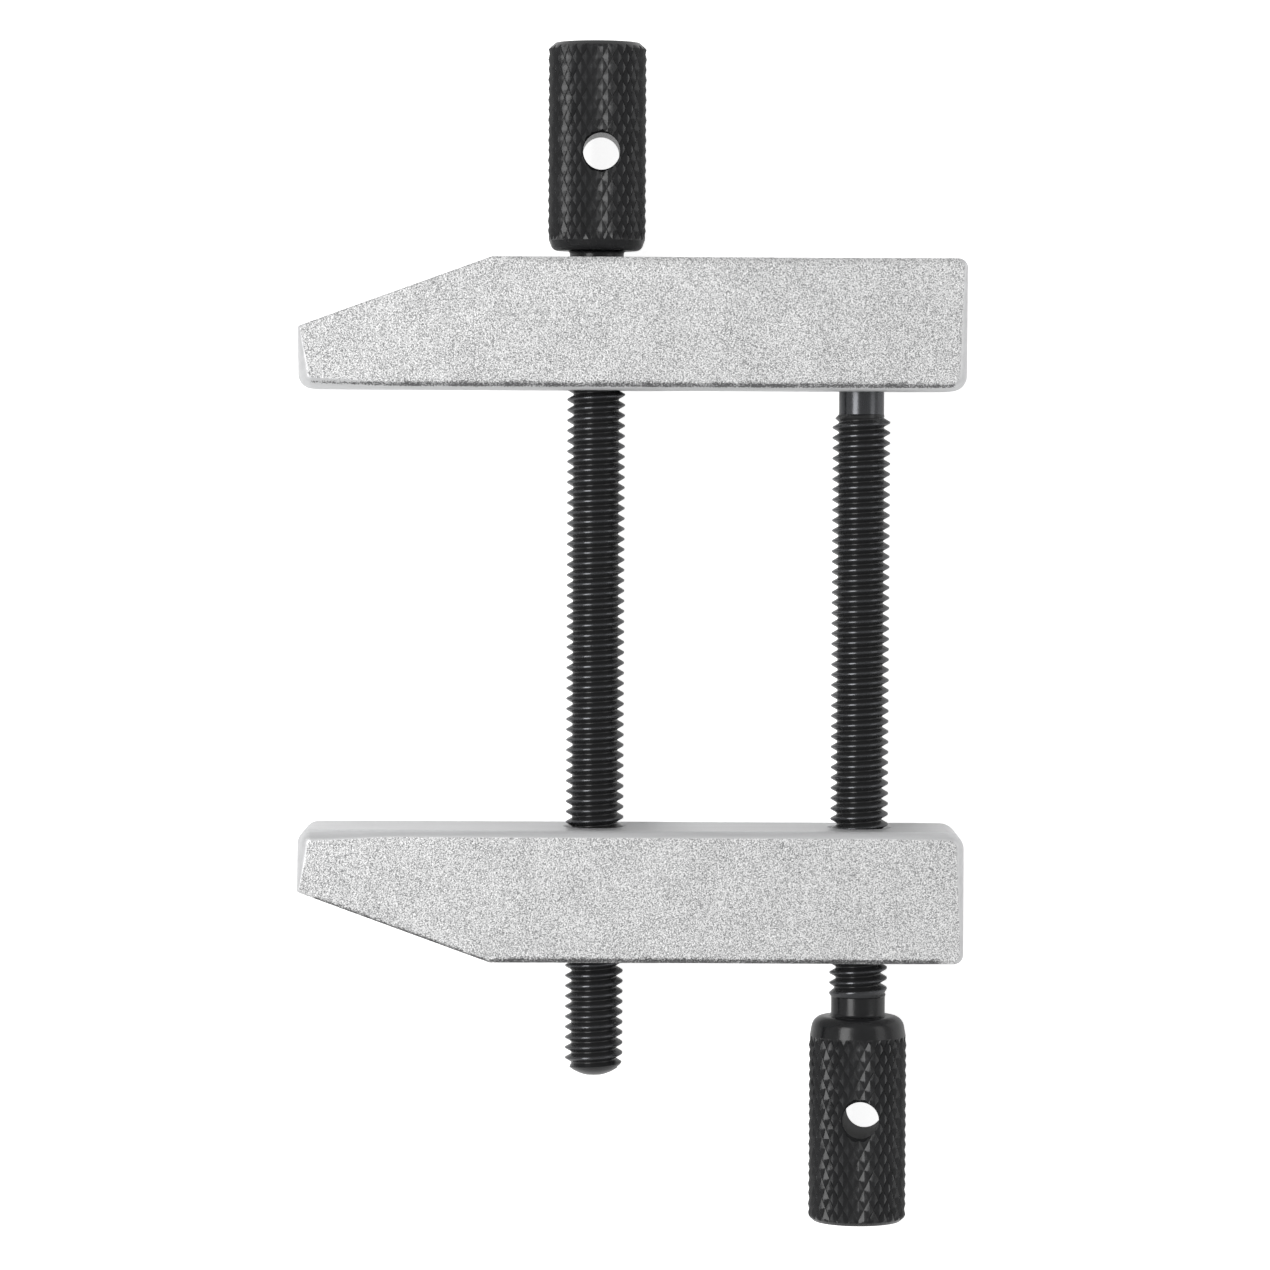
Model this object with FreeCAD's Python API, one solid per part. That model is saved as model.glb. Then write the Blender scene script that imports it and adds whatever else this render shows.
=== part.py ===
"""Parallel screw clamp: two bar jaws drawn together by two knurled screws.

Millimetres. X runs along the jaws (nose at -X), Y along the screws, Z up from the bench.
The clamp lies on the side faces of its jaws, so Z = 0 is the lower side face of both.
The origin is the middle of the outline seen from above, on the bench.
"""
import FreeCAD, Part
import math
import os

Vector = FreeCAD.Vector

# Jaws: one square bar each, with a sloped nose
jaw_length = 90.5
jaw_height = 18.0
jaw_depth = 18.0
nose_height = 8.5
slope_length = 26.2
nose_to_middle_screw = 40.3
screw_spacing = 36.3
nose_inner_radius = 2.0
nose_slope_radius = 0.4
slope_top_radius = 1.0
tail_inner_radius = 2.6
tail_outer_radius = 1.3
inner_edge_radius = 1.05
outer_edge_radius = 0.7
end_edge_radius = 0.5

# Threads: 5/16 inch with 18 turns per inch on both screws, drawn as V rings at the pitch;
# each ring has a few flats round it in place of a smooth cone
thread_major_radius = 25.4 * 5.0 / 16.0 / 2.0
thread_pitch = 25.4 / 18.0
thread_root_radius = 3.10
thread_flats = 18
thread_lead_in = 0.9
running_clearance = 0.05
free_clearance = 0.10

# Knurled heads, each with a cross-hole drilled a little beside the axis
head_radius = 6.72
head_length = 28.3
head_end_chamfer = 0.7
head_taper_length = 3.6
head_taper_deg = 15.0
head_shoulder_radius = 1.0
cross_hole_radius = 2.5

# Middle screw: neck through the upper jaw, thread through the lower jaw, domed tip
neck_radius = 3.7
neck_fillet = 0.5
middle_neck_length = 4.0
middle_head_gap = 1.03
middle_first_crest = 0.20
middle_thread_past_lower_jaw = 13.9
tip_length = 2.25
tip_flat_radius = 1.4
middle_hole_from_end = 15.0
middle_hole_turn_deg = 0.8
middle_hole_offset = 0.55

# Rear screw: neck at the head, plain dog that bears on the bottom of the upper jaw's socket
rear_neck_length = 2.6
rear_head_gap = 7.9
rear_first_crest = 0.607
dog_radius = 3.09
dog_shown = 3.1
dog_end_chamfer = 0.5
socket_depth = 9.0
socket_point_deg = 118.0
rear_hole_from_end = 14.55
rear_hole_turn_deg = -5.0
rear_hole_offset = 0.70

# Distance between the clamping faces as the clamp stands in the picture
opening = 59.7

# Levels along Y, from the values above
above_upper_face = jaw_height + middle_head_gap + head_length
below_lower_face = jaw_height + rear_head_gap + head_length
lower_face_y = -(opening + above_upper_face - below_lower_face) / 2.0
upper_face_y = lower_face_y + opening
nose_x = -jaw_length / 2.0
middle_x = nose_x + nose_to_middle_screw
rear_x = middle_x + screw_spacing
axis_z = jaw_depth / 2.0


def straight_edges(solid, direction, keep):
    """Edges of a solid along one direction whose two ends both pass a test."""
    found = []
    for edge in solid.Edges:
        ends = [vertex.Point for vertex in edge.Vertexes]
        span = ends[-1] - ends[0]
        if span.Length > 0.001 and span.cross(direction).Length < 0.001:
            if all(keep(end) for end in ends):
                found.append(edge)
    return found


def outline_prism(face_y, outward):
    """Jaw as cut to its outline: sloped nose, rounded corners, square edges."""
    tail_x = nose_x + jaw_length
    back_y = face_y + outward * jaw_height
    corners = [
        (nose_x, face_y, nose_inner_radius),
        (tail_x, face_y, tail_inner_radius),
        (tail_x, back_y, tail_outer_radius),
        (nose_x + slope_length, back_y, slope_top_radius),
        (nose_x, face_y + outward * nose_height, nose_slope_radius),
    ]
    outline = [Vector(x, y, 0) for x, y, radius in corners]
    prism = Part.Face(Part.makePolygon(outline + outline[:1])).extrude(Vector(0, 0, jaw_depth))
    for x, y, radius in corners:
        corner = straight_edges(prism, Vector(0, 0, 1),
                                lambda p: math.hypot(p.x - x, p.y - y) < 0.01)
        prism = prism.makeFillet(radius, corner)
    return prism


def bar_stock(face_y, outward):
    """Bar that the jaw is cut from: long edges rounded, more so at the clamping face."""
    low_y = min(face_y, face_y + outward * jaw_height)
    bar = Part.makeBox(jaw_length, jaw_height, jaw_depth, Vector(nose_x, low_y, 0))
    inner = straight_edges(bar, Vector(1, 0, 0), lambda p: abs(p.y - face_y) < 0.01)
    bar = bar.makeFillet(inner_edge_radius, inner)
    outer = straight_edges(bar, Vector(1, 0, 0),
                           lambda p: abs(p.y - face_y - outward * jaw_height) < 0.01)
    return bar.makeFillet(outer_edge_radius, outer)


def end_rounding(face_y, outward):
    """Bar with only the upright edges of its two ends broken."""
    low_y = min(face_y, face_y + outward * jaw_height)
    bar = Part.makeBox(jaw_length, jaw_height, jaw_depth, Vector(nose_x, low_y, 0))
    ends = straight_edges(bar, Vector(0, 1, 0), lambda p: True)
    return bar.makeFillet(end_edge_radius, ends)


def jaw_bar(face_y, outward):
    """Undrilled jaw; outward is +1 when its back faces +Y and -1 when it faces -Y."""
    bar = outline_prism(face_y, outward).common(bar_stock(face_y, outward))
    return bar.common(end_rounding(face_y, outward))


def plain_bore(x, radius):
    """Round cutter along Y through the whole clamp at one screw's place."""
    reach = opening + above_upper_face + below_lower_face
    return Part.makeCylinder(radius, reach, Vector(x, -reach / 2.0, axis_z), Vector(0, 1, 0))


def dog_socket():
    """Blind drilled hole in the upper jaw's clamping face, with the drill's point."""
    radius = dog_radius + running_clearance
    point = radius / math.tan(math.radians(socket_point_deg / 2.0))
    mouth = Vector(rear_x, upper_face_y - 1.0, axis_z)
    bottom = Vector(rear_x, upper_face_y + socket_depth, axis_z)
    straight = Part.makeCylinder(radius, socket_depth + 1.0, mouth, Vector(0, 1, 0))
    tip = Part.makeCone(radius, 0.0, point, bottom, Vector(0, 1, 0))
    return straight.fuse(tip)


def upper_jaw():
    """Jaw under the middle screw's head: one clearance hole and the dog's socket."""
    bar = jaw_bar(upper_face_y, 1)
    bar = bar.cut(plain_bore(middle_x, thread_major_radius + free_clearance))
    return bar.cut(dog_socket()).removeSplitter()


def lower_jaw():
    """Jaw that both screws are threaded through."""
    bar = jaw_bar(lower_face_y, -1)
    radius = thread_major_radius + running_clearance
    bar = bar.cut(plain_bore(middle_x, radius))
    return bar.cut(plain_bore(rear_x, radius)).removeSplitter()


def line(start, end):
    """Straight edge between two points given as radius and distance from the shoulder."""
    return Part.makeLine(Vector(start[0], start[1], 0), Vector(end[0], end[1], 0))


def arc(start, middle, end):
    """Round edge through three points given as radius and distance from the shoulder."""
    points = [Vector(r, s, 0) for r, s in (start, middle, end)]
    return Part.Arc(*points).toShape()


def turned(profile):
    """Solid turned about the Y axis from a half section whose two ends lie on the axis."""
    first, last = profile[0].Vertexes[0].Point, profile[-1].Vertexes[-1].Point
    wire = Part.Wire(profile + [Part.makeLine(last, first)])
    return Part.Face(wire).revolve(Vector(0, 0, 0), Vector(0, 1, 0), 360)


def head_and_neck(neck_length):
    """Head with its chamfered end and rounded shoulder, and the plain neck below it."""
    end = -head_length
    taper, half_turn = math.radians(head_taper_deg), math.radians(90.0 - head_taper_deg) / 2.0
    corner = head_radius - head_taper_length * math.tan(taper)
    cut = head_shoulder_radius * math.tan(half_turn)
    rim = corner - cut
    round_start = (corner + cut * math.sin(taper), -cut * math.cos(taper))
    round_middle = (rim + head_shoulder_radius * math.sin(half_turn),
                    -head_shoulder_radius * (1.0 - math.cos(half_turn)))
    foot = neck_radius + neck_fillet
    inside = thread_root_radius - 0.3
    return turned([
        line((0, end), (head_radius - head_end_chamfer, end)),
        line((head_radius - head_end_chamfer, end), (head_radius, end + head_end_chamfer)),
        line((head_radius, end + head_end_chamfer), (head_radius, -head_taper_length)),
        line((head_radius, -head_taper_length), round_start),
        arc(round_start, round_middle, (rim, 0)),
        line((rim, 0), (foot, 0)),
        arc((foot, 0), (foot - neck_fillet * 0.707, neck_fillet * 0.293),
            (neck_radius, neck_fillet)),
        line((neck_radius, neck_fillet), (neck_radius, neck_length)),
        line((neck_radius, neck_length), (inside, neck_length + neck_radius - inside)),
        line((inside, neck_length + neck_radius - inside),
             (0, neck_length + neck_radius - inside)),
    ])


def last_root(first_crest, limit):
    """Place of the last root whose next crest still lies before a limit."""
    turns = math.floor((limit - first_crest) / thread_pitch)
    return first_crest + (turns - 0.5) * thread_pitch


def ring(radius, along):
    """Corners of an outline with equal flats round the Y axis, the first one repeated."""
    corners = []
    for k in range(thread_flats + 1):
        turn = 2.0 * math.pi * (k % thread_flats) / thread_flats
        corners.append(Vector(radius * math.sin(turn), along, radius * math.cos(turn)))
    return corners


def thread(first_crest, start, end):
    """Thread from the root at or before its start to the root at its end, flat by flat."""
    half = thread_pitch / 2.0
    step = 2 * math.floor((start - first_crest) / thread_pitch - 0.5) + 1
    sections = []
    while first_crest + step * half < end + half / 2.0:
        radius = thread_root_radius if step % 2 else thread_major_radius
        sections.append(ring(radius, first_crest + step * half))
        step += 1
    flats = [Part.Face(Part.makePolygon(sections[0])), Part.Face(Part.makePolygon(sections[-1]))]
    for low, high in zip(sections, sections[1:]):
        for k in range(thread_flats):
            outline = [low[k], low[k + 1], high[k + 1], high[k], low[k]]
            flats.append(Part.Face(Part.makePolygon(outline)))
    skin = Part.Shell(flats)
    skin.sewShape()
    solid = Part.Solid(skin)
    return solid if solid.Volume > 0.0 else solid.reversed()


def domed_tip(root, tip):
    """End of the middle screw from its last root: last crest, dome and small flat."""
    crest = root + thread_pitch / 2.0
    dome = tip - tip_length
    bend = (thread_major_radius - 0.68, tip - 0.83)
    return turned([
        line((0, root), (thread_root_radius, root)),
        line((thread_root_radius, root), (thread_major_radius, crest)),
        line((thread_major_radius, crest), (thread_major_radius, dome)),
        arc((thread_major_radius, dome), bend, (tip_flat_radius, tip)),
        line((tip_flat_radius, tip), (0, tip)),
    ])


def plain_dog(root, thread_end, dog_end):
    """End of the rear screw from its last root: last crest, lead-in and plain dog."""
    crest = root + thread_pitch / 2.0
    full = thread_end - thread_lead_in
    dog_edge = dog_radius - dog_end_chamfer
    return turned([
        line((0, root), (thread_root_radius, root)),
        line((thread_root_radius, root), (thread_major_radius, crest)),
        line((thread_major_radius, crest), (thread_major_radius, full)),
        line((thread_major_radius, full), (dog_radius, thread_end)),
        line((dog_radius, thread_end), (dog_radius, dog_end - dog_end_chamfer)),
        line((dog_radius, dog_end - dog_end_chamfer), (dog_edge, dog_end)),
        line((dog_edge, dog_end), (0, dog_end)),
    ])


def cross_drilled(screw, from_end, turn_deg, offset):
    """Screw with its tommy-bar hole through the head, turned a little from straight up."""
    along = Vector(math.sin(math.radians(turn_deg)), 0, math.cos(math.radians(turn_deg)))
    reach = 2.0 * head_radius
    start = Vector(offset, from_end - head_length, 0) - along * reach
    return screw.cut(Part.makeCylinder(cross_hole_radius, 2.0 * reach, start, along))


def middle_screw():
    """Clamping screw, head above the upper jaw and tip below the lower jaw."""
    shoulder_y = upper_face_y + jaw_height + middle_head_gap
    below = lower_face_y - jaw_height - middle_thread_past_lower_jaw - tip_length
    tip = shoulder_y - below
    root = last_root(middle_first_crest, tip - tip_length)
    solid = cross_drilled(head_and_neck(middle_neck_length), middle_hole_from_end,
                          -middle_hole_turn_deg, -middle_hole_offset)
    solid = solid.fuse([thread(middle_first_crest, middle_neck_length, root),
                        domed_tip(root, tip)])
    solid.rotate(Vector(0, 0, 0), Vector(0, 0, 1), 180)
    solid.translate(Vector(middle_x, shoulder_y, axis_z))
    return solid


def rear_screw():
    """Thrust screw, head below the lower jaw and dog on the bottom of the upper jaw's socket."""
    shoulder_y = lower_face_y - jaw_height - rear_head_gap
    thread_end = upper_face_y - dog_shown - shoulder_y
    dog_end = upper_face_y + socket_depth - shoulder_y
    root = last_root(rear_first_crest, thread_end - thread_lead_in)
    solid = cross_drilled(head_and_neck(rear_neck_length), rear_hole_from_end,
                          rear_hole_turn_deg, rear_hole_offset)
    solid = solid.fuse([thread(rear_first_crest, rear_neck_length, root),
                        plain_dog(root, thread_end, dog_end)])
    solid.translate(Vector(rear_x, shoulder_y, axis_z))
    return solid


def main():
    """Write every piece to its own file."""
    os.makedirs("parts", exist_ok=True)
    pieces = {
        "upper_jaw": upper_jaw(),
        "lower_jaw": lower_jaw(),
        "middle_screw": middle_screw(),
        "rear_screw": rear_screw(),
    }
    for name, shape in pieces.items():
        shape.exportStep("parts/" + name + ".step")


main()
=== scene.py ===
"""Parallel screw clamp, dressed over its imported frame.

Two blasted steel bar jaws and two blackened, knurled screws lie on a pale bench. The jaws,
the threads and the knurls are surfaces worked out here; sizes are in millimetres until a
mesh is made, and the frame is in metres with X along the jaws, Y along the screws and Z up.
"""

import logging
import math
from dataclasses import dataclass, field
from enum import Enum
from typing import Callable

import bpy
import numpy as np
from mathutils import Matrix, Vector

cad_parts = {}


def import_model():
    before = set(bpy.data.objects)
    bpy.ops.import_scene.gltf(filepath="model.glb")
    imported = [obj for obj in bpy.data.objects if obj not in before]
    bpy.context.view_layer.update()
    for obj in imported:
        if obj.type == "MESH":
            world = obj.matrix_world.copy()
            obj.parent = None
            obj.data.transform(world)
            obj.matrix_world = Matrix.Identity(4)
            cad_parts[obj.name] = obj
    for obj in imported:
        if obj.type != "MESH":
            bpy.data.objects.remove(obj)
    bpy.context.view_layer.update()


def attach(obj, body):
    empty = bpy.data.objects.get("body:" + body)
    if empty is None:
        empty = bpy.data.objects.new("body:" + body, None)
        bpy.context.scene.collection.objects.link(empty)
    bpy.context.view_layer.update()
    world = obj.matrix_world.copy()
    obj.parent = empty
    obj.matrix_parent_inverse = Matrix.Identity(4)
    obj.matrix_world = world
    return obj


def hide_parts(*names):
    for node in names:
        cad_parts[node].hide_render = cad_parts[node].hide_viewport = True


log = logging.getLogger("clamp")
MM = 0.001
INCH = 25.4
TURN = 2.0 * math.pi
KEYS_PER_MM = 1.0e4  # Corners that round to one key are one corner
CRISP = 0.02         # How close a mark or a ring keeps to its edge
TINY = 1.0e-9        # Slack in comparing places along a screw
BEYOND = 2.0         # How far a cutting tool reaches past the surface that it leaves
BEND_POINTS = 9      # Points along a small rounding's section
ARC_POINTS = 13      # Points round a corner of a jaw's outline


class Hand(Enum):
    """Which way a thread climbs round its screw."""

    RIGHT = 1.0
    LEFT = -1.0


class Side(Enum):
    """Which way a jaw's back faces along Y."""

    UP = 1.0
    DOWN = -1.0


# Surfaces

@dataclass
class Skin:
    """Patches of a closed surface, gathered in millimetres and joined where they meet.

    Every face has four corners; a triangle repeats its last one.
    """

    points: list[np.ndarray] = field(default_factory=list)
    faces: list[np.ndarray] = field(default_factory=list)
    count: int = 0

    def add(self, points: np.ndarray, faces: np.ndarray) -> None:
        """Adds one patch.

        Args:
            points: Corner places, one row each.
            faces: Corner numbers within the patch, four to a row.
        """
        self.points.append(points.reshape(-1, 3))
        self.faces.append(faces.reshape(-1, 4) + self.count)
        self.count += len(self.points[-1])

    def joined(self) -> tuple[np.ndarray, list[list[int]]]:
        """Merges corners that lie within a tenth of a micron and drops empty faces.

        Returns:
            The places, and the faces as lists of three or four corner numbers.
        """
        points = np.concatenate(self.points)
        faces = np.concatenate(self.faces)
        keys = np.round(points * KEYS_PER_MM).astype(np.int64)
        _, first, number = np.unique(keys, axis=0, return_index=True, return_inverse=True)
        faces = number.reshape(-1)[faces]
        same = faces == np.roll(faces, -1, axis=1)
        repeats = same.sum(axis=1)
        folded = (faces[:, 0] == faces[:, 2]) | (faces[:, 1] == faces[:, 3])
        four = faces[(repeats == 0) & ~folded]
        three = repeats == 1
        triangles = faces[three][~same[three]].reshape(-1, 3)
        return points[first], four.tolist() + triangles.tolist()


def grid_faces(rows: int, columns: int, closed: bool) -> np.ndarray:
    """Corner numbers of a grid whose columns run round and whose rows run along.

    Args:
        rows: Number of rows of points.
        columns: Number of points in a row.
        closed: Whether the last column joins the first.

    Returns:
        Faces that turn from the column direction to the row direction.
    """
    number = np.arange(rows * columns).reshape(rows, columns)
    after = np.roll(number, -1, axis=1)
    if not closed:
        number, after = number[:, :-1], after[:, :-1]
    return np.stack([number[:-1], after[:-1], after[1:], number[1:]], axis=-1).reshape(-1, 4)


def round_points(angle: np.ndarray, along: np.ndarray, radius: np.ndarray) -> np.ndarray:
    """Points round a screw's axis: (radius sin angle, distance along, radius cos angle)."""
    return np.stack([radius * np.sin(angle), along + 0.0 * angle, radius * np.cos(angle)], -1)


def lathe_patch(skin: Skin, profile: np.ndarray, columns: int) -> None:
    """Adds a half section turned about the axis.

    Args:
        skin: Surface that takes the patch.
        profile: Radius and distance along the axis, one row each, from head end to tip.
        columns: Number of points round the axis.
    """
    angle = np.arange(columns) * TURN / columns
    points = round_points(angle[None, :], profile[:, 1:2], profile[:, 0:1])
    skin.add(points, grid_faces(len(profile), columns, True))


def bridge_patch(skin: Skin, fine: int, coarse: int, inner: float, outer: float,
                 along: float) -> None:
    """Adds a flat ring whose rim has four points for each one at its inner edge.

    Args:
        skin: Surface that takes the patch.
        fine: Number of points round the rim.
        coarse: Number of points round the inner edge.
        inner: Radius of the inner edge.
        outer: Radius of the rim.
        along: Distance of the ring along the axis.
    """
    rim_angle = np.arange(fine) * TURN / fine
    low_angle = np.arange(coarse) * TURN / coarse
    rim = round_points(rim_angle, np.full(fine, along), np.full(fine, outer))
    low = round_points(low_angle, np.full(coarse, along), np.full(coarse, inner))
    k = np.arange(coarse)
    f = [(4 * k + step) % fine for step in range(5)]
    c0, c1 = fine + k, fine + (k + 1) % coarse
    parts = [(f[0], f[1], c0), (f[1], f[2], c0), (f[2], c1, c0), (f[2], f[3], c1),
             (f[3], f[4], c1)]
    faces = np.concatenate([np.stack([a, b, c, c], -1) for a, b, c in parts])
    skin.add(np.concatenate([rim, low]), faces)


def new_piece(name: str, skin: Skin) -> bpy.types.Object:
    """Makes an object, still in millimetres, from a joined surface.

    Args:
        name: Name of the piece or tool.
        skin: Closed surface.

    Returns:
        The new object, linked to the scene.
    """
    points, faces = skin.joined()
    mesh = bpy.data.meshes.new(name)
    mesh.from_pydata(points.tolist(), [], faces)
    mesh.validate()
    piece = bpy.data.objects.new(name, mesh)
    bpy.context.scene.collection.objects.link(piece)
    return piece


def read_places(mesh: bpy.types.Mesh) -> np.ndarray:
    """Reads where a mesh's points are.

    Args:
        mesh: Mesh to read.

    Returns:
        The places, one row each.
    """
    places = np.empty(len(mesh.vertices) * 3)
    mesh.vertices.foreach_get("co", places)
    return places.reshape(-1, 3)


def write_places(mesh: bpy.types.Mesh, places: np.ndarray) -> None:
    """Moves a mesh's points to new places."""
    mesh.vertices.foreach_set("co", places.reshape(-1))
    mesh.update()


def write_marks(mesh: bpy.types.Mesh, **marks: np.ndarray) -> None:
    """Stores numbers at a mesh's points.

    Args:
        mesh: Mesh that takes them.
        marks: For each mark's name its number at every point.
    """
    for name, values in marks.items():
        layer = mesh.attributes.new(name, "FLOAT", "POINT")
        layer.data.foreach_set("value", values.astype(np.float32))


def fall_off(value: np.ndarray, limit: np.ndarray | float, width: float) -> np.ndarray:
    """Gives 1 up to the limit, then falls evenly to 0 over the width."""
    return 1.0 - np.clip((value - limit) / width, 0.0, 1.0)


def carve(piece: bpy.types.Object, cutters: list[bpy.types.Object]) -> None:
    """Cuts closed tools out of a piece and keeps the result as its mesh.

    Args:
        piece: Piece to cut, with no other modifier.
        cutters: Closed tools, which are removed afterwards.
    """
    for cutter in cutters:
        cut = piece.modifiers.new("cut", "BOOLEAN")
        cut.operation = "DIFFERENCE"
        cut.solver = "EXACT"
        cut.object = cutter
    bpy.context.view_layer.update()
    graph = bpy.context.evaluated_depsgraph_get()
    mesh = bpy.data.meshes.new_from_object(piece.evaluated_get(graph))
    mesh.name = piece.name
    before = piece.data
    piece.modifiers.clear()
    piece.data = mesh
    bpy.data.meshes.remove(before)
    for cutter in cutters:
        spent = cutter.data
        bpy.data.objects.remove(cutter)
        bpy.data.meshes.remove(spent)


def place_mesh(piece: bpy.types.Object, move: Callable[[np.ndarray], np.ndarray],
               sharp_degrees: float) -> None:
    """Moves a piece's own mesh to its place in the frame and shades it.

    Args:
        piece: Piece whose mesh is still in millimetres.
        move: Takes the places in the piece's millimetres to the frame's millimetres.
        sharp_degrees: Edges that turn more than this stay crisp.
    """
    mesh = piece.data
    write_places(mesh, move(read_places(mesh)) * MM)
    mesh.polygons.foreach_set("use_smooth", np.ones(len(mesh.polygons), dtype=bool))
    mesh.set_sharp_from_angle(angle=math.radians(sharp_degrees))


# Screws

@dataclass
class Knurl:
    """Diamond knurl of a head: two families of V grooves that lean 29 degrees each way.

    The half width of a groove is a share of the distance between two of its family, and the
    grooves grow from nothing over the run-in and end over the run-out.
    """

    radius: float = 6.72
    starts: int = 28
    axial_pitch: float = 2.74
    depth: float = 0.36
    half_width: float = 0.46
    unevenness: float = 0.12
    run_in: float = 0.25
    run_out: float = 0.30
    steps: int = 4

    def columns(self) -> int:
        """Number of points round the knurl's two ends."""
        return 2 * self.starts * self.steps

    def patch(self, skin: Skin, begin: float, end: float,
              envelope: Callable[[np.ndarray], np.ndarray]) -> None:
        """Adds the knurled band on a lattice whose lines run along both families of grooves.

        Point (d, c), with d and c both even or both odd, stands at d / (2 x steps) pitches
        along the axis and at c / (2 x starts x steps) of a turn. Its phases in the two
        families are (c + d) and (c - d) over (2 x steps), whole in a groove. The radius is
        the lesser of the head's own and the knurl's, which falls evenly from half a width
        away to the full depth in the nearer groove. A sine of the two groove numbers makes
        some marks shallower.

        Args:
            skin: Surface that takes the patch.
            begin: Where the band begins along the axis.
            end: Where it ends.
            envelope: Radius of the plain head along the axis.
        """
        half = self.starts * self.steps
        fine = 2 * self.steps
        spare = 3
        first = math.floor(begin / self.axial_pitch * fine) - spare
        last = math.ceil(end / self.axial_pitch * fine) + spare
        d = np.arange(first, last + 1)[:, None]
        c = 2 * np.arange(half)[None, :] + (d % 2)
        a, b = (c + d) / fine, (c - d) / fine
        free = self.axial_pitch * d / fine + 0.0 * c
        along = np.clip(free, begin, end)
        near = np.minimum(self.groove_distance(a), self.groove_distance(b))
        uneven = self.unevenness * np.sin(3.1 * np.round(a) + 1.7 * np.round(b)) ** 2
        groove = np.clip(1.0 - near / self.half_width, 0.0, 1.0) * (1.0 - uneven)
        fade = np.clip((end - along) / self.run_out, 0.0, 1.0) \
            * np.clip((along - begin) / self.run_in, 0.0, 1.0)
        radius = np.minimum(envelope(along), self.radius - self.depth * groove)
        radius = envelope(along) + (radius - envelope(along)) * fade
        points = round_points(c * TURN / (2 * half), along, radius)
        rows = np.arange(len(d) - 2)[:, None]
        column = np.arange(half)[None, :]
        odd = d[:-2] % 2
        low = rows * half + column
        right = (rows + 1) * half + (column + odd) % half
        left = (rows + 1) * half + (column + odd - 1) % half
        top = (rows + 2) * half + column
        across = self.same_half(a[:-2], b[:-2])[..., None]
        faces_a = np.where(across, np.stack([low, right, left, left], -1),
                           np.stack([low, right, top, top], -1))
        faces_b = np.where(across, np.stack([right, top, left, left], -1),
                           np.stack([low, top, left, left], -1))
        inside = (free[2:] > begin + TINY) & (free[:-2] < end - TINY)
        skin.add(points, np.concatenate([faces_a[inside], faces_b[inside]]))

    @staticmethod
    def groove_distance(phase: np.ndarray) -> np.ndarray:
        """Distance to the nearest groove of one family, in pitches: 0 in it, 0.5 midway."""
        return np.abs(phase - np.round(phase))

    def same_half(self, a: np.ndarray, b: np.ndarray) -> np.ndarray:
        """Tells which way a small face of the lattice is split in two.

        Args:
            a: Phase of the face's lowest corner in the first family.
            b: Its phase in the second family.

        Returns:
            Whether the crease runs round the head and not along it.
        """
        mid_a = a + 0.5 / self.steps
        mid_b = b - 0.5 / self.steps
        return (np.mod(mid_a, 1.0) < 0.5) == (np.mod(mid_b, 1.0) < 0.5)


@dataclass
class Thread:
    """60 degree thread with lightly rounded crests and roots.

    The form gives shares of the depth below the crest at phases from 0 on the crest to 0.5
    in the root, and the other flank mirrors it.
    """

    radius: float = INCH * 5.0 / 16.0 / 2.0
    pitch: float = INCH / 18.0
    depth: float = 0.87
    hand: Hand = Hand.RIGHT
    columns: int = 56
    form: tuple[tuple[float, float], ...] = (
        (0.0, 0.0), (0.055, 0.01), (0.095, 0.06), (0.40, 0.93), (0.44, 0.98), (0.475, 0.998),
        (0.5, 1.0))

    def fall(self, phase: np.ndarray) -> np.ndarray:
        """Share of the depth below the crest at a phase, in any turn."""
        phases, falls = zip(*self.form)
        return np.interp(np.abs(phase - np.round(phase)), phases, falls)

    def patch(self, skin: Skin, begin: float, end: float, crest: float,
              envelope: Callable[[np.ndarray], np.ndarray],
              cut: Callable[[np.ndarray], np.ndarray]) -> None:
        """Adds the threaded stretch on a grid whose rows climb with the helix.

        A row is one phase of one turn: it stands at its start plus the pitch times the
        share of a turn, so the last column of a row is the first column of the same phase
        one turn further on. The radius is the lesser of the plain shape's and the thread's.

        Args:
            skin: Surface that takes the patch.
            begin: Where the stretch begins along the axis.
            end: Where it ends.
            crest: A place of the crest along the axis at angle 0.
            envelope: Radius of the plain shape along the axis.
            cut: Share of the full depth along the axis.
        """
        flank = np.array([phase for phase, _ in self.form])
        steps = np.concatenate([flank, 1.0 - flank[-2:0:-1]])
        climb = self.pitch * self.hand.value
        spare = 2
        first = math.floor((begin - crest) / self.pitch) - spare
        last = math.ceil((end - crest) / self.pitch) + spare
        turns = np.arange(first, last)
        phase = (turns[:, None] + steps[None, :]).reshape(-1, 1)
        angle = np.arange(self.columns)[None, :] * TURN / self.columns
        free = crest + phase * self.pitch + climb * angle / TURN
        along = np.clip(free, begin, end)
        true_phase = (along - crest - climb * angle / TURN) / self.pitch
        deep = self.depth * cut(along) * self.fall(true_phase)
        radius = np.minimum(envelope(along), self.radius - deep)
        points = round_points(angle + 0.0 * along, along, radius)
        rows = len(phase)
        number = np.arange(rows * self.columns).reshape(rows, self.columns)
        jump = len(steps) if self.hand is Hand.RIGHT else -len(steps)
        after = np.concatenate([number[:, 1:], np.roll(number[:, :1], -jump, axis=0)], axis=1)
        faces = np.stack([number[:-1], after[:-1], after[1:], number[1:]], -1)
        level = free.reshape(-1)[faces]
        inside = (level.max(-1) > begin + TINY) & (level.min(-1) < end - TINY)
        # Faces that the roll joined from one end of the stretch to the other are left out
        whole = level.max(-1) - level.min(-1) < 3.0 * self.pitch
        skin.add(points, faces[inside & whole])


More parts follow.
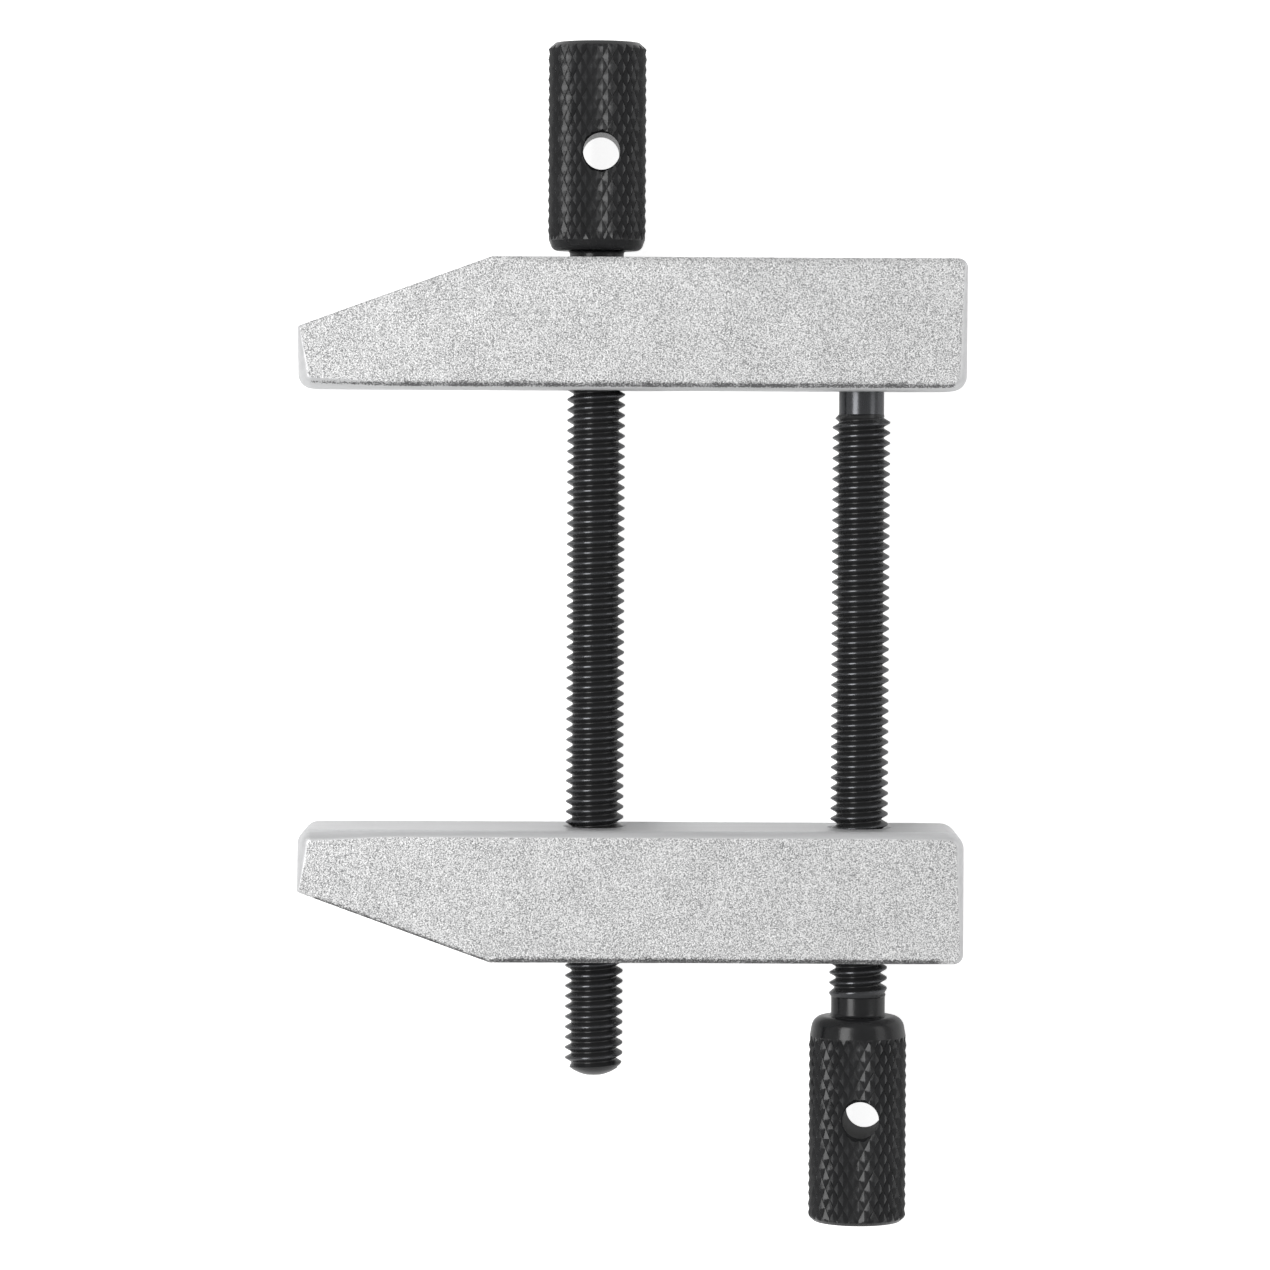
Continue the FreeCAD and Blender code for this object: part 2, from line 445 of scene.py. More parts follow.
@dataclass(kw_only=True)
class ClampScrew:
    """Screw turned from one bar: knurled head with a cross-hole, neck, thread and end.

    Distances run along the axis from the shoulder under the head, positive to the tip. The
    end edge is the rounding between end face and chamfer, out from the face's rim and in
    from the face; the collar is a narrow flat ring round the neck's fillet.
    """

    node: str
    head_up: bool
    axis_x: float
    shoulder_y: float
    thread_end: float
    tip: float
    hole_from_end: float
    hole_turn_deg: float
    hole_offset: float
    crest: float
    neck_length: float
    taper_length: float
    taper_deg: float
    smooth_length: float
    shoulder_radius: float
    end_chamfer: float
    bore_roughness: float
    axis_z: float = 9.0
    head_radius: float = 6.72
    head_length: float = 28.3
    plain_end: float = 0.45
    end_edge: tuple[tuple[float, float], ...] = ((-0.12, 0.0), (-0.04, 0.012), (0.02, 0.05))
    hole_radius: float = 2.5
    hole_flare: float = 0.65
    flare_slope: float = 0.8
    hole_columns: int = 64
    neck_radius: float = 3.7
    neck_fillet: float = 0.5
    collar: float = 0.3
    run_in_turns: float = 1.1
    thread: Thread = field(default_factory=Thread)
    knurl: Knurl = field(default_factory=Knurl)

    def shoulder_points(self) -> tuple[float, float, float]:
        """Works out the rounded shoulder, a circle that touches the taper and the end face.

        Returns:
            Radius at the shoulder's foot, and radius and place where its rounding starts.
        """
        taper = math.radians(self.taper_deg)
        cut = self.shoulder_radius * math.tan((math.pi / 2.0 - taper) / 2.0)
        corner = self.head_radius - self.taper_length * math.tan(taper)
        return corner - cut, corner + cut * math.sin(taper), -cut * math.cos(taper)

    def head_envelope(self, along: np.ndarray) -> np.ndarray:
        """Plain head's radius: chamfer, cylinder, taper and rounded shoulder.

        The taper narrows by the tangent of its angle times the distance run; the rounding is
        a circle about the shoulder's foot, one shoulder radius back from the end face.

        Args:
            along: Distances along the axis.

        Returns:
            The radius at each.
        """
        foot, _, start = self.shoulder_points()
        run = np.clip(along + self.taper_length, 0.0, None)
        taper = self.head_radius - run * math.tan(math.radians(self.taper_deg))
        back = np.clip(along + self.shoulder_radius, 0.0, self.shoulder_radius)
        round_part = foot + np.sqrt(self.shoulder_radius ** 2 - back ** 2)
        chamfer = self.head_radius - self.end_chamfer + (along + self.head_length)
        return np.minimum(np.where(along > start, round_part, taper), chamfer)

    def shank_envelope(self, along: np.ndarray) -> np.ndarray:
        """Plain shank's radius, from the neck to where the thread ends."""
        raise NotImplementedError

    def cut_share(self, along: np.ndarray) -> np.ndarray:
        """Share of the thread's depth that is cut, 0 at the neck and 1 after the run-in."""
        run_in = self.run_in_turns * self.thread.pitch
        return np.clip((along - self.neck_length) / run_in, 0.0, 1.0)

    def end_profile(self) -> np.ndarray:
        """Half section from where the thread ends to the tip, on the axis."""
        raise NotImplementedError

    def head_patches(self, skin: Skin) -> None:
        """Adds the end face, chamfer, knurled band, smooth band and rounded shoulder.

        Args:
            skin: Surface that takes them.
        """
        end = -self.head_length
        begin = end + self.plain_end
        rim = self.head_radius - self.end_chamfer
        columns = self.knurl.columns()
        wide = self.head_envelope(np.array([begin]))[0]
        edge = np.array(self.end_edge) + [rim, end]
        cap = np.concatenate([[[0.0, end], [rim * 0.5, end]], edge, [[wide, begin]]])
        lathe_patch(skin, cap, columns)
        self.knurl.patch(skin, begin, -self.smooth_length, self.head_envelope)
        foot, wide, start = self.shoulder_points()
        first = math.asin((wide - foot) / self.shoulder_radius)
        turn = np.linspace(first, 0.0, BEND_POINTS)
        bend = np.stack([foot + self.shoulder_radius * np.sin(turn),
                         self.shoulder_radius * (np.cos(turn) - 1.0)], -1)
        taper = np.linspace(-self.smooth_length, start, 4)[:-1]
        shoulder = np.concatenate([np.stack([self.head_envelope(taper), taper], -1), bend])
        lathe_patch(skin, shoulder, columns)

    def shank_patches(self, skin: Skin) -> None:
        """Adds the foot of the shoulder, the neck with its fillet, the thread and the end.

        Args:
            skin: Surface that takes them.
        """
        columns = self.knurl.columns()
        rim = self.shoulder_points()[0]
        foot = self.neck_radius + self.neck_fillet
        bridge_patch(skin, columns, self.thread.columns, foot + self.collar, rim, 0.0)
        t = np.linspace(0.0, 1.0, BEND_POINTS)
        fillet = np.stack([foot - self.neck_fillet * (1.0 - (1.0 - t) ** 2),
                           self.neck_fillet * t ** 2], -1)
        neck = np.concatenate([[[foot + self.collar, 0.0]], fillet,
                               [[self.neck_radius, self.neck_length]]])
        lathe_patch(skin, neck, self.thread.columns)
        self.thread.patch(skin, self.neck_length, self.thread_end, self.crest,
                          self.shank_envelope, self.cut_share)
        lathe_patch(skin, self.end_profile(), self.thread.columns)

    def hole_line(self) -> tuple[float, float, float]:
        """Works out the cross-hole's line in the screw's own millimetres.

        Returns:
            Its place beside and along the axis, and its turn from straight up.
        """
        way = -1.0 if self.head_up else 1.0
        turn = math.radians(way * self.hole_turn_deg)
        return way * self.hole_offset, self.hole_from_end - self.head_length, turn

    def bare_from(self) -> float:
        """Where along the axis the surface is ground bare; past the tip if nowhere."""
        return self.tip + 1.0

    def mark_surfaces(self, piece: bpy.types.Object) -> None:
        """Stores where the surface was drilled, ground or threaded.

        "bore" is 1 on the cross-hole's wall, one hole radius from its line, "bare" is 1
        where the screw is ground bare, and "cut" is 1 on the thread.

        Args:
            piece: Drilled screw, still in its own millimetres.
        """
        places = read_places(piece.data)
        beside, level, turn = self.hole_line()
        x, y, z = (places - [beside, level, 0.0]).T
        away = np.hypot(x * math.cos(turn) - z * math.sin(turn), y)
        along = places[:, 1]
        write_marks(piece.data, bore=np.abs(away - self.hole_radius) < CRISP,
                    bare=along > self.bare_from(),
                    cut=(along > self.neck_length) & (along < self.thread_end))

    def hole_cutter(self) -> bpy.types.Object:
        """Makes the cross-hole's tool: a rod that flares a little where it leaves the head.

        Returns:
            The closed tool, in the screw's own millimetres.
        """
        skin = Skin()
        reach = self.head_radius + BEYOND
        flare = self.head_radius - self.hole_flare
        mouth = self.hole_radius + (reach - flare) * self.flare_slope
        half = np.array([[self.hole_radius, flare], [mouth, reach], [0.0, reach]])
        profile = np.concatenate([half[::-1] * [1.0, -1.0], half])
        lathe_patch(skin, profile, self.hole_columns)
        tool = new_piece("hole_tool", skin)
        beside, level, turn = self.hole_line()
        x, y, z = read_places(tool.data).T
        write_places(tool.data, np.stack([z * math.cos(turn) + y * math.sin(turn) + beside,
                                          x + level,
                                          y * math.cos(turn) - z * math.sin(turn)], -1))
        return tool

    def to_frame(self, places: np.ndarray) -> np.ndarray:
        """Screw's own millimetres to the frame's: turned half round about Z if head up."""
        way = np.array([-1.0, -1.0, 1.0]) if self.head_up else np.array([1.0, 1.0, 1.0])
        return places * way + np.array([self.axis_x, self.shoulder_y, self.axis_z])

    def build(self) -> bpy.types.Object:
        """Makes the whole screw in its place.

        Returns:
            The finished piece, with no material yet.
        """
        skin = Skin()
        self.head_patches(skin)
        self.shank_patches(skin)
        piece = new_piece(self.node + "_dressed", skin)
        carve(piece, [self.hole_cutter()])
        self.mark_surfaces(piece)
        place_mesh(piece, self.to_frame, sharp_degrees=24.0)
        return piece


@dataclass(kw_only=True)
class MiddleScrew(ClampScrew):
    """Clamping screw: its domed tip stands out below the lower jaw.

    The dome's section is a quadratic curve from the crest to the tip's small flat. Its
    middle point stands the dome's fall inside the crest, the dome's run from its start.
    """

    node: str = "middle_screw"
    head_up: bool = True
    hole_from_end: float = 15.0
    hole_turn_deg: float = 0.8
    hole_offset: float = 0.55
    crest: float = 0.20
    neck_length: float = 4.0
    taper_length: float = 1.9
    taper_deg: float = 20.0
    smooth_length: float = 1.4
    shoulder_radius: float = 1.0
    end_chamfer: float = 0.9
    bore_roughness: float = 0.1
    dome_length: float = 2.25
    dome_fall: float = 0.07
    dome_run: float = 1.5
    flat_radius: float = 1.4

    def dome_radius(self, along: np.ndarray) -> np.ndarray:
        """Reads the dome's radius off its curve.

        Args:
            along: Distances along the axis.

        Returns:
            The radius at each, which is the crest's before the dome.
        """
        share = np.linspace(0.0, 1.0, 60)
        before, middle, after = (1 - share) ** 2, 2 * share * (1 - share), share ** 2
        start, top = self.tip - self.dome_length, self.thread.radius
        radius = before * top + middle * (top - self.dome_fall) + after * self.flat_radius
        place = before * start + middle * (start + self.dome_run) + after * self.tip
        return np.interp(along, place, radius)

    def shank_envelope(self, along: np.ndarray) -> np.ndarray:
        """Neck, a short rise to the thread's crest, and the dome at the tip."""
        rise = self.neck_radius + (along - self.neck_length)
        return np.minimum(np.minimum(rise, self.thread.radius), self.dome_radius(along))

    def end_profile(self) -> np.ndarray:
        """Half section of the rest of the dome and the small flat of the tip.

        Returns:
            Radius and distance along the axis, one row each.
        """
        along = np.linspace(self.thread_end, self.tip, 7)
        flat = np.array([[self.flat_radius * 0.5, self.tip], [0.0, self.tip]])
        return np.concatenate([np.stack([self.dome_radius(along), along], -1), flat])


@dataclass(kw_only=True)
class RearScrew(ClampScrew):
    """Thrust screw: its plain dog stands in the upper jaw's socket."""

    node: str = "rear_screw"
    head_up: bool = False
    hole_from_end: float = 14.55
    hole_turn_deg: float = -5.0
    hole_offset: float = 0.70
    crest: float = 0.607
    neck_length: float = 2.6
    taper_length: float = 3.5
    taper_deg: float = 10.0
    smooth_length: float = 2.75
    shoulder_radius: float = 1.7
    end_chamfer: float = 0.7
    bore_roughness: float = 0.50
    dog_radius: float = 3.09
    dog_chamfer: float = 0.5
    lead_in: float = 0.9

    def bare_from(self) -> float:
        """The dog is ground bare from where the thread ends."""
        return self.thread_end + 0.5 * CRISP

    def shank_envelope(self, along: np.ndarray) -> np.ndarray:
        """Neck, a short rise to the thread's crest, and the lead-in down to the dog.

        Args:
            along: Distances along the axis.

        Returns:
            The radius at each.
        """
        rise = self.neck_radius + (along - self.neck_length)
        slope = (self.thread.radius - self.dog_radius) / self.lead_in
        fall = self.dog_radius + (self.thread_end - along) * slope
        return np.minimum(np.minimum(rise, self.thread.radius), fall)

    def end_profile(self) -> np.ndarray:
        """Half section of the plain dog, its chamfer and its flat end face.

        Returns:
            Radius and distance along the axis, one row each.
        """
        edge, last = self.dog_radius - self.dog_chamfer, self.tip - self.dog_chamfer
        dog = [[self.dog_radius, along] for along in
               (self.thread_end, self.thread_end + CRISP, last - CRISP, last)]
        return np.array([*dog, [edge, self.tip], [edge * 0.5, self.tip], [0.0, self.tip]])


# Jaws

@dataclass(frozen=True)
class Hole:
    """Hole drilled from the clamping face; a depth of 0 is right through."""

    x: float
    radius: float
    depth: float = 0.0


@dataclass(kw_only=True)
class Jaw:
    """Bar jaw with a sloped nose; its edges are broken by hand, more at the clamping face.

    The outline's corners run against the clock: nose and tail on the clamping face, tail on
    the back, top of the slope, nose's upper corner. Each has a radius, and the broken edge
    has a width at each corner and at both ends of each side. A pair of a ground mark or of the
    painted dark edge holds its limit and the width over which it fades, in millimetres. The
    painted dark edge is painted shade: a ragged dark line for the dark reflection of the edge
    that faces -Y.
    """

    node: str
    back: Side
    face_y: float
    holes: tuple[Hole, ...]
    tail_inner: float
    back_break: float
    back_drop: float
    # Reach and drop of the painted shade: a dark line along the edge that faces -Y
    burr_reach: float
    slope_burr_reach: float
    burr_drop: tuple[float, float]
    length: float = 90.5
    height: float = 18.0
    depth: float = 18.0
    nose_height: float = 8.5
    slope_length: float = 26.2
    nose_inner: float = 2.0
    tail_outer: float = 1.3
    slope_top: float = 1.0
    nose_slope: float = 0.4
    corner_breaks: tuple[float, ...] = (1.55, 1.10, 0.55, 0.35, 0.35)
    face_break: float = 1.02
    tail_break: tuple[float, float] = (1.00, 0.55)
    slope_break: tuple[float, float] = (0.30, 0.22)
    nose_break: tuple[float, float] = (0.50, 1.45)
    blend_share: float = 0.12
    side_points: tuple[int, ...] = (40, 14, 26, 20, 12)
    back_band: tuple[float, float] = (2.0, 1.4)
    rings: int = 13
    edge_bend: float = 1.43
    face_holds: tuple[float, ...] = (0.6, 0.03)
    wall_holds: tuple[float, ...] = (0.04, 0.7)
    hole_mouth: float = 0.35
    point_deg: float = 59.0
    hole_columns: int = 72
    ground_face: tuple[float, float] = (1.6, 0.5)
    ground_nose: tuple[float, float] = (1.2, 0.3)
    ground_tail: tuple[float, float] = (0.9, 0.3)
    # Fade and end limits of the painted shade line along the edge that faces -Y
    burr_fade: float = 0.45
    burr_ends: tuple[float, float] = (1.3, 0.6)

    def corners(self) -> np.ndarray:
        """Corners of the outline above the clamping face, against the clock."""
        nose, tail = -self.length / 2.0, self.length / 2.0
        return np.array([[nose, 0.0], [tail, 0.0], [tail, self.height],
                         [nose + self.slope_length, self.height], [nose, self.nose_height]])

    def ring(self, share: float, extra: float) -> tuple[np.ndarray, np.ndarray]:
        """Outline moved inwards.

        The move at each place is the broken edge's width there times the share, plus the
        extra. A corner's arc keeps its centre until the move passes its radius; from then on
        the two sides meet in a point, the move times tan(half the turn) from the corner.
        Places on a straight run are divided evenly between its two corners.

        Args:
            share: Share of the broken edge's width.
            extra: Further move, in millimetres.

        Returns:
            The places, and the broken edge's width at each.
        """
        corners = self.corners()
        radii = np.array([self.nose_inner, self.tail_inner, self.tail_outer, self.slope_top,
                          self.nose_slope])
        widths = np.array(self.corner_breaks)
        sides = [(self.face_break, self.face_break), self.tail_break,
                 (self.back_break, self.back_break), self.slope_break, self.nose_break]
        after = np.roll(corners, -1, axis=0) - corners
        length = np.linalg.norm(after, axis=1)
        after = after / length[:, None]
        before = np.roll(after, 1, axis=0)
        sweep = np.arctan2(before[:, 0] * after[:, 1] - before[:, 1] * after[:, 0],
                           (before * after).sum(1))
        moves = widths * share + extra
        reach = np.maximum(radii, moves)
        cut = reach * np.tan(sweep / 2.0)
        places, width = [], []
        for k, corner in enumerate(corners):
            left = np.array([-before[k][1], before[k][0]])
            middle = corner - before[k] * cut[k] + reach[k] * left
            first = math.atan2(-before[k][0], before[k][1])
            turn = first + sweep[k] * np.linspace(0.0, 1.0, ARC_POINTS)
            outward = np.stack([np.cos(turn), np.sin(turn)], -1)
            places.append(middle + (reach[k] - moves[k]) * outward)
            width.append(np.full(ARC_POINTS, widths[k]))
            there = (k + 1) % len(corners)
            even = np.linspace(0.0, 1.0, self.side_points[k] + 2)[1:-1]
            broken = np.interp(even, [0.0, self.blend_share, 1.0 - self.blend_share, 1.0],
                               [widths[k], *sides[k], widths[there]])
            along = cut[k] + (length[k] - cut[k] - cut[there]) * even
            inward = np.array([-after[k][1], after[k][0]])
            places.append(corner + after[k] * along[:, None]
                          + inward * (broken * share + extra)[:, None])
            width.append(broken)
        return np.concatenate(places), np.concatenate(width)

    def body(self) -> Skin:
        """Closed surface of the undrilled jaw.

        Each ring is the outline moved inwards by the width times (1 - sin t ^ bend) and away
        from the side face by the width times (1 - cos t ^ bend), with t from 0 to a quarter
        turn; a bend above 1 leaves a flatter edge that turns sharply into the side face. The
        holds, rings a little inside the side face and down the wall, keep both flat and the
        marks of the edge on the edge. Near the back the drop is the back's share of it.

        Returns:
            The surface, in the frame's millimetres.
        """
        steps = [(1.0, extra, 0.0, 0.0) for extra in self.face_holds]
        steps += [(1.0 - max(math.sin(t), 0.0) ** self.edge_bend, 0.0,
                   1.0 - max(math.cos(t), 0.0) ** self.edge_bend, 0.0)
                  for t in np.linspace(0.0, math.pi / 2.0, self.rings)]
        steps += [(0.0, 0.0, 1.0, more) for more in self.wall_holds]
        band = self.height - np.array(self.back_band)
        flat, down = [], []
        for share, extra, drop, more in steps:
            places, width = self.ring(share, extra)
            shallow = np.interp(places[:, 1], band, [1.0, self.back_drop])
            flat.append(places)
            down.append(width * drop * shallow + more)
        flat, down = np.array(flat), np.array(down)
        flat = np.concatenate([flat, flat[::-1]])
        height = np.concatenate([self.depth - down, down[::-1]])
        flat[..., 1] = flat[..., 1] * self.back.value + self.face_y
        points = np.concatenate([flat, height[..., None]], -1)
        faces = grid_faces(len(flat), flat.shape[1], True)
        if self.back is Side.UP:
            faces = faces[:, ::-1]
        skin = Skin()
        skin.add(points, faces)
        for ring, sign in ((points[0], 1.0), (points[-1], -1.0)):
            middle = ring.mean(axis=0, keepdims=True)
            rim = np.arange(len(ring))
            after = np.roll(rim, -1)
            hub = np.full(len(ring), len(ring))
            fan = np.stack([rim, after, hub, hub], -1)
            if sign * self.back.value < 0:
                fan = np.stack([after, rim, hub, hub], -1)
            skin.add(np.concatenate([ring, middle]), fan)
        return skin

    def drill(self, hole: Hole) -> bpy.types.Object:
        """Makes a drill for one hole: a section turned about the hole's axis.

        Args:
            hole: Hole to drill.

        Returns:
            The closed tool, with a drill's point if the hole is blind.
        """
        wide = hole.radius + self.hole_mouth + BEYOND
        profile = [[0.0, -BEYOND], [wide, -BEYOND], [hole.radius, self.hole_mouth]]
        if hole.depth > 0.0:
            point = hole.radius / math.tan(math.radians(self.point_deg))
            profile += [[hole.radius, hole.depth], [0.0, hole.depth + point]]
        else:
            profile += [[hole.radius, self.height - self.hole_mouth],
                        [wide, self.height + BEYOND], [0.0, self.height + BEYOND]]
        skin = Skin()
        lathe_patch(skin, np.array(profile), self.hole_columns)
        tool = new_piece("drill_tool", skin)
        way = np.array([self.back.value, self.back.value, 1.0])
        middle = np.array([hole.x, self.face_y, self.depth / 2.0])
        write_places(tool.data, read_places(tool.data) * way + middle)
        return tool

    def mark_edges(self, piece: bpy.types.Object) -> None:
        """Stores how the jaw's surface was worked and where it takes painted shade, from each
        point's place.

        "ground" is 1 below the side faces near the clamping face and the two ends. The dark edge
        mark is 1 along the edge that faces -Y, on the side face's rim and the upper part of the
        broken edge: a ragged line of painted shade, for the dark reflection that this edge shows.

        Args:
            piece: Finished jaw, in the frame's metres.
        """
        x, y, z = (read_places(piece.data) / MM).T
        drop = np.minimum(z, self.depth - z)
        from_face = (y - self.face_y) * self.back.value
        from_nose, from_tail = self.length / 2.0 + x, self.length / 2.0 - x
        ends = np.maximum(fall_off(from_nose, *self.ground_nose),
                          fall_off(from_tail, *self.ground_tail))
        worked = np.maximum(fall_off(from_face, *self.ground_face), ends)
        # Painted shade: a dark line along the edge that faces -Y, for the dark reflection it
        # shows
        slope = (self.height - self.nose_height) / self.slope_length
        top = np.minimum(self.height, self.nose_height + slope * from_nose)
        edge = from_face if self.back is Side.UP else top - from_face
        sloped = from_nose <= self.slope_length
        reach = np.where(sloped, self.slope_burr_reach, self.burr_reach)
        burr = fall_off(edge, reach - self.burr_fade, self.burr_fade) \
            * fall_off(drop, *self.burr_drop)
        limit, width = self.burr_ends
        inside = np.clip((np.minimum(from_nose, from_tail) - limit) / width, 0.0, 1.0)
        write_marks(piece.data, ground=np.clip(drop / CRISP, 0.0, 1.0) * worked,
                    burr=burr * inside)

    def build(self) -> bpy.types.Object:
        """Makes the drilled jaw in its place.

        Returns:
            The finished piece, with no material yet.
        """
        piece = new_piece(self.node + "_dressed", self.body())
        carve(piece, [self.drill(hole) for hole in self.holes])
        place_mesh(piece, lambda places: places, sharp_degrees=40.0)
        self.mark_edges(piece)
        return piece


@dataclass(kw_only=True)
class UpperJaw(Jaw):
    """Jaw that slides: the middle screw runs free in it, and its blind socket holds the dog."""

    node: str = "upper_jaw"
    back: Side = Side.UP
    tail_inner: float = 2.1
    back_break: float = 1.0
    back_drop: float = 0.5
    # Painted shade along the clamping face's edge, which faces -Y
    burr_reach: float = 1.32
    slope_burr_reach: float = 1.32
    burr_drop: tuple[float, float] = (0.30, 0.24)


@dataclass(kw_only=True)
class LowerJaw(Jaw):
    """Jaw through which both screws are threaded."""

    node: str = "lower_jaw"
    back: Side = Side.DOWN
    tail_inner: float = 2.4
    back_break: float = 0.60
    back_drop: float = 1.0
    # Painted shade along the back's edge, which faces -Y
    burr_reach: float = 0.95
    slope_burr_reach: float = 0.62
    burr_drop: tuple[float, float] = (0.45, 0.24)


# Finishes

class Nodes:
    """Short hand for adding and joining shader nodes in one tree."""

    def __init__(self, tree: bpy.types.NodeTree) -> None:
        """Keeps the tree that the nodes go into."""
        self.tree = tree

    def add(self, kind: str, **settings: object) -> bpy.types.Node:
        """Adds a node.

        Args:
            kind: Type of the node.
            settings: Values of its properties, by name.

        Returns:
            The node.
        """
        node = self.tree.nodes.new(kind)
        for name, value in settings.items():
            setattr(node, name, value)
        return node

    def feed(self, node: bpy.types.Node, inputs: dict[str | int, object]) -> bpy.types.Node:
        """Fills a node's inputs.

        Args:
            node: Node to fill.
            inputs: For each input's name or number an output to link, a number or a colour.

        Returns:
            The same node.
        """
        for label, value in inputs.items():
            if isinstance(value, bpy.types.NodeSocket):
                self.tree.links.new(value, node.inputs[label])
            elif isinstance(value, tuple):
                node.inputs[label].default_value = (*value, 1.0)
            else:
                node.inputs[label].default_value = value
        return node

    def math(self, operation: str, *values: object) -> bpy.types.NodeSocket:
        """Adds a Math node.

        Args:
            operation: Name of the operation.
            values: Its inputs in order, numbers or outputs.

        Returns:
            The result.
        """
        node = self.add("ShaderNodeMath", operation=operation)
        return self.feed(node, dict(enumerate(values))).outputs[0]

    def ramp(self, value: bpy.types.NodeSocket, low: object, high: object,
             to_low: float = 0.0, to_high: float = 1.0) -> bpy.types.NodeSocket:
        """Maps a value from one range to another, held at both ends."""
        node = self.add("ShaderNodeMapRange", clamp=True)
        return self.feed(node, {0: value, 1: low, 2: high, 3: to_low, 4: to_high}).outputs[0]

    def mix(self, share: object, first: object, second: object) -> bpy.types.NodeSocket:
        """Mixes two colours by a share."""
        node = self.add("ShaderNodeMix", data_type="RGBA")
        return self.feed(node, {0: share, 6: first, 7: second}).outputs[2]

    def noise(self, place: bpy.types.NodeSocket, scale: float, detail: float,
              rough: float) -> bpy.types.NodeSocket:
        """Adds a Noise texture and returns its factor."""
        return self.feed(self.add("ShaderNodeTexNoise"), {
            "Vector": place, "Scale": scale, "Detail": detail, "Roughness": rough}).outputs[0]

    def parts(self, vector: bpy.types.NodeSocket) -> bpy.types.NodeOutputs:
        """Parts a vector into its X, Y and Z."""
        return self.feed(self.add("ShaderNodeSeparateXYZ"), {0: vector}).outputs

    def group(self, tree: bpy.types.NodeTree, inputs: dict[str, object]) -> bpy.types.NodeOutputs:
        """Places a shared group and fills its inputs."""
        return self.feed(self.add("ShaderNodeGroup", node_tree=tree), inputs).outputs

    def mark(self, name: str) -> bpy.types.NodeSocket:
        """Reads a mark that is stored at the mesh's points."""
        return self.add("ShaderNodeAttribute", attribute_name=name).outputs["Fac"]


def new_group(name: str, inputs: tuple[tuple[str, float], ...],
              outputs: tuple[str, ...]) -> bpy.types.NodeTree:
    """Starts a shader node group with a place as its first input.

    Args:
        name: Name of the group.
        inputs: Names and default values of its number inputs.
        outputs: Names of its number outputs.

    Returns:
        The empty group, with its sockets.
    """
    group = bpy.data.node_groups.new(name, "ShaderNodeTree")
    group.interface.new_socket("Place", in_out="INPUT", socket_type="NodeSocketVector")
    for label, value in inputs:
        socket = group.interface.new_socket(label, in_out="INPUT", socket_type="NodeSocketFloat")
        socket.default_value = value
    for label in outputs:
        group.interface.new_socket(label, in_out="OUTPUT", socket_type="NodeSocketFloat")
    return group


def grain_group() -> bpy.types.NodeTree:
    """Builds the blasted grain: pits and chips, with the cloudiness of a hand-held nozzle.

    Height is fine noise and the distance to the nearest pit, Fleck is chips of uneven
    brightness and specks, and Cloud is wide noise. All run from about 0 to 1.

    Returns:
        A group with Place and Size in, and Height, Fleck and Cloud out.
    """
    group = new_group("blast_grain", (("Size", 0.0003),), ("Height", "Fleck", "Cloud"))
    n = Nodes(group)
    source, sink = n.add("NodeGroupInput"), n.add("NodeGroupOutput")
    scaled = n.feed(n.add("ShaderNodeVectorMath", operation="SCALE"), {
        0: source.outputs["Place"],
        "Scale": n.math("DIVIDE", 1.0, source.outputs["Size"])}).outputs[0]
    fine = n.noise(scaled, scale=0.55, detail=2.0, rough=0.55)
    pits = n.feed(n.add("ShaderNodeTexVoronoi", feature="SMOOTH_F1"), {
        "Vector": scaled, "Scale": 0.75, "Smoothness": 0.6})
    height = n.math("ADD", n.math("MULTIPLY", fine, 0.6),
                    n.math("MULTIPLY", pits.outputs["Distance"], 0.5))
    chips = n.feed(n.add("ShaderNodeTexVoronoi", feature="F1"), {"Vector": scaled, "Scale": 1.8})
    chip = n.ramp(n.parts(chips.outputs["Color"])[0], low=0.26, high=0.60)
    speck = n.ramp(n.noise(scaled, scale=1.15, detail=2.0, rough=0.7), low=0.36, high=0.60)
    fleck = n.math("ADD", n.math("MULTIPLY", chip, 0.66), n.math("MULTIPLY", speck, 0.34))
    cloud = n.ramp(n.noise(scaled, scale=0.03, detail=3.0, rough=0.6), low=0.35, high=0.65)
    n.feed(sink, {"Height": height, "Fleck": fleck, "Cloud": cloud})
    return group


def rub_group() -> bpy.types.NodeTree:
    """Builds rubbed high spots and faint handling marks on a round, blackened part.

    Rub rises patchily from 0 at the Low distance from the axis to about 1 at High, and is 0
    beyond Top. Mark is noise from 0 to 1.

    Returns:
        A group with Place (from the axis), Low, High and Top in, and Rub and Mark out.
    """
    group = new_group("rubbed_crests", (("Low", 0.0038), ("High", 0.004), ("Top", 1.0)),
                      ("Rub", "Mark"))
    n = Nodes(group)
    source, sink = n.add("NodeGroupInput"), n.add("NodeGroupOutput")
    place = source.outputs["Place"]
    x, _, z = n.parts(place)
    radius = n.math("SQRT", n.math("ADD", n.math("MULTIPLY", x, x), n.math("MULTIPLY", z, z)))
    high = n.ramp(radius, source.outputs["Low"], source.outputs["High"])
    below = n.math("LESS_THAN", radius, source.outputs["Top"])
    patchy = n.ramp(n.noise(place, scale=900.0, detail=3.0, rough=0.6), low=0.35, high=0.7,
                    to_low=0.75, to_high=1.2)
    mark = n.ramp(n.noise(place, scale=260.0, detail=4.0, rough=0.65), low=0.3, high=0.75)
    n.feed(sink, {"Rub": n.math("MULTIPLY", n.math("MULTIPLY", high, below), patchy),
                  "Mark": mark})
    return group


def new_material(name: str) -> tuple[bpy.types.Material, Nodes, bpy.types.Node]:
    """Starts a material with one Principled shader.

    Args:
        name: Name of the finish.

    Returns:
        The material, its node helper and its shader.
    """
    material = bpy.data.materials.new(name)
    material.use_nodes = True
    return material, Nodes(material.node_tree), material.node_tree.nodes["Principled BSDF"]


